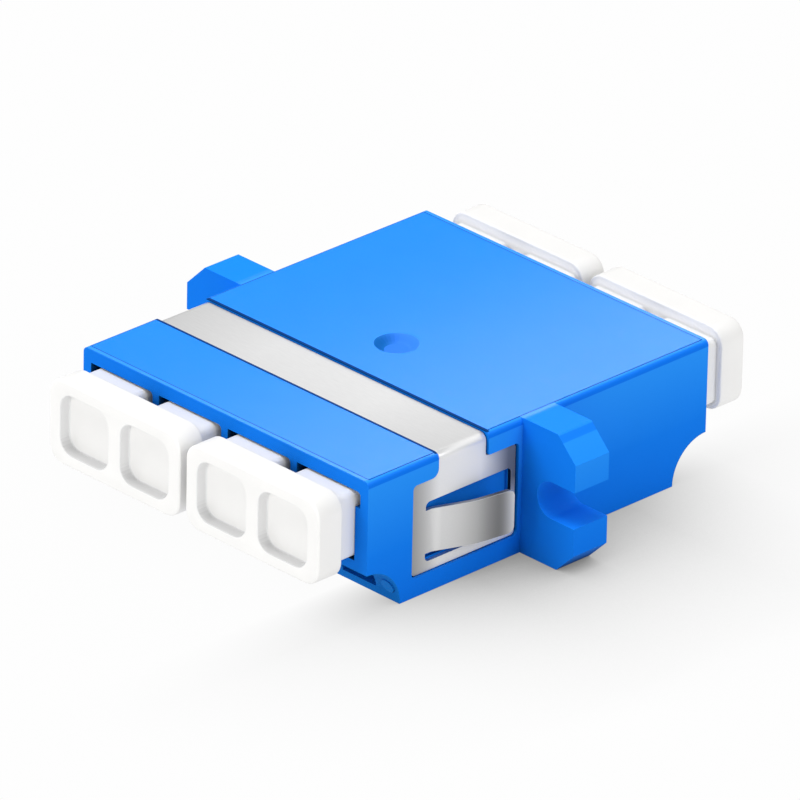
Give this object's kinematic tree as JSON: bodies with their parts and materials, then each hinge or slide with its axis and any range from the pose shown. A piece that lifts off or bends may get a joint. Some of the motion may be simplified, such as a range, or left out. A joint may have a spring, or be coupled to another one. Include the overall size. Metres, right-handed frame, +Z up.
{
  "type": "fibre optic adapter",
  "caption": "Flanged panel adapter that joins fibre connectors end to end in side-by-side ports, with a sprung steel clip over the body and twin dust caps at both ends.",
  "frame": {"origin": "centre of the flat underside of the housing", "axes": "+X across the ports to the right, -Y out of the front ports along the optical axis, +Z up from the underside"},
  "size_m": [0.0352, 0.0375, 0.0094],
  "materials": {
    "housing_blue": "satin moulded, blue",
    "retainer_blue": "moulded, blue",
    "clip_steel": "rolled sheet, fine grain",
    "sleeve_ceramic": "ground ceramic",
    "cap_white": "soft moulded, white"
  },
  "bodies": {
    "adapter": {"housing": "housing_blue", "mounting_clip": "clip_steel", "sleeve_1": "sleeve_ceramic", "sleeve_2": "sleeve_ceramic", "sleeve_3": "sleeve_ceramic", "sleeve_4": "sleeve_ceramic", "sleeve_retainer_1": "retainer_blue", "sleeve_retainer_2": "retainer_blue", "sleeve_retainer_3": "retainer_blue", "sleeve_retainer_4": "retainer_blue"},
    "dust_cap_front_left_body": {"dust_cap_front_left": "cap_white"},
    "dust_cap_front_right_body": {"dust_cap_front_right": "cap_white"},
    "dust_cap_rear_left_body": {"dust_cap_rear_left": "cap_white"},
    "dust_cap_rear_right_body": {"dust_cap_rear_right": "cap_white"}
  },
  "joints": [
    {"name": "pull_front_left", "type": "slide", "parent": "adapter", "child": "dust_cap_front_left_body", "axis": [0, -1, 0], "range_m": [0, 0.015]},
    {"name": "pull_front_right", "type": "slide", "parent": "adapter", "child": "dust_cap_front_right_body", "axis": [0, -1, 0], "range_m": [0, 0.015]},
    {"name": "pull_rear_left", "type": "slide", "parent": "adapter", "child": "dust_cap_rear_left_body", "axis": [0, 1, 0], "range_m": [0, 0.015]},
    {"name": "pull_rear_right", "type": "slide", "parent": "adapter", "child": "dust_cap_rear_right_body", "axis": [0, 1, 0], "range_m": [0, 0.015]}
  ]
}
